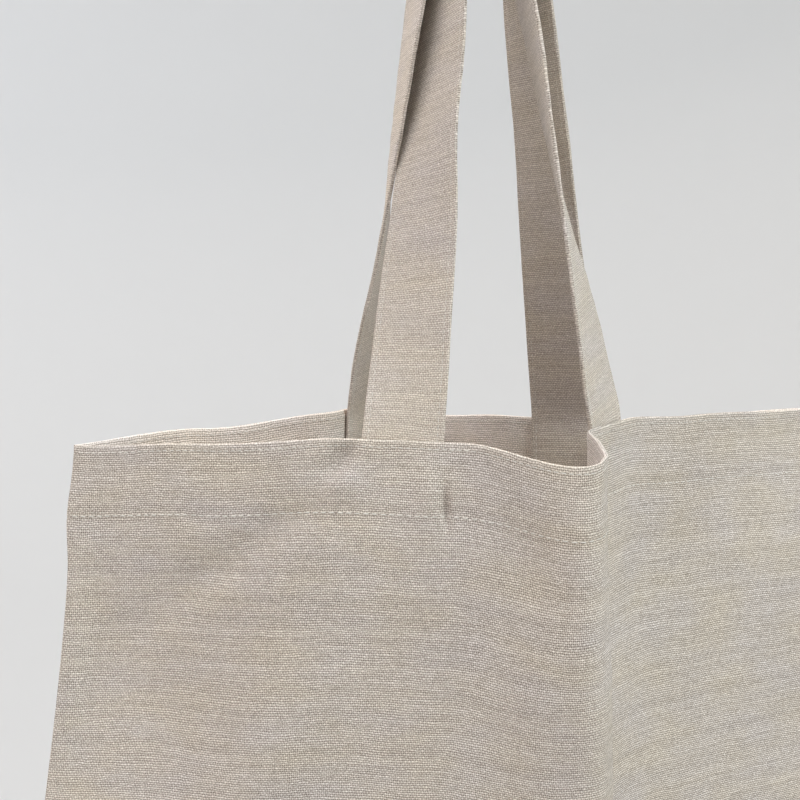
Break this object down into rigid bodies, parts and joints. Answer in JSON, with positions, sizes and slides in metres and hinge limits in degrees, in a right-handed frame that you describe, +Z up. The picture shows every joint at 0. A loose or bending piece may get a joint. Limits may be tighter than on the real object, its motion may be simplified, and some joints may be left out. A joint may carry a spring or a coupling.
{
  "type": "linen tote bag",
  "caption": "Soft open linen tote bag hanging by its twisted strap handles, with a folded hem, a loose front fold and a flat bottom seam.",
  "frame": {"origin": "the point under the top of the front handle's loop where the bag hangs", "axes": "+Z up, -Y toward the front panel, +X to the right as seen from the front"},
  "size_m": [0.38, 0.1532, 0.6264],
  "materials": {
    "bag_linen": "matte plain-woven natural linen",
    "handle_linen": "matte plain-woven natural linen, folded and edge-stitched"
  },
  "bodies": {
    "root": {"front_panel": "bag_linen", "back_panel": "bag_linen", "front_handle": "handle_linen", "back_handle": "handle_linen"}
  },
  "joints": []
}
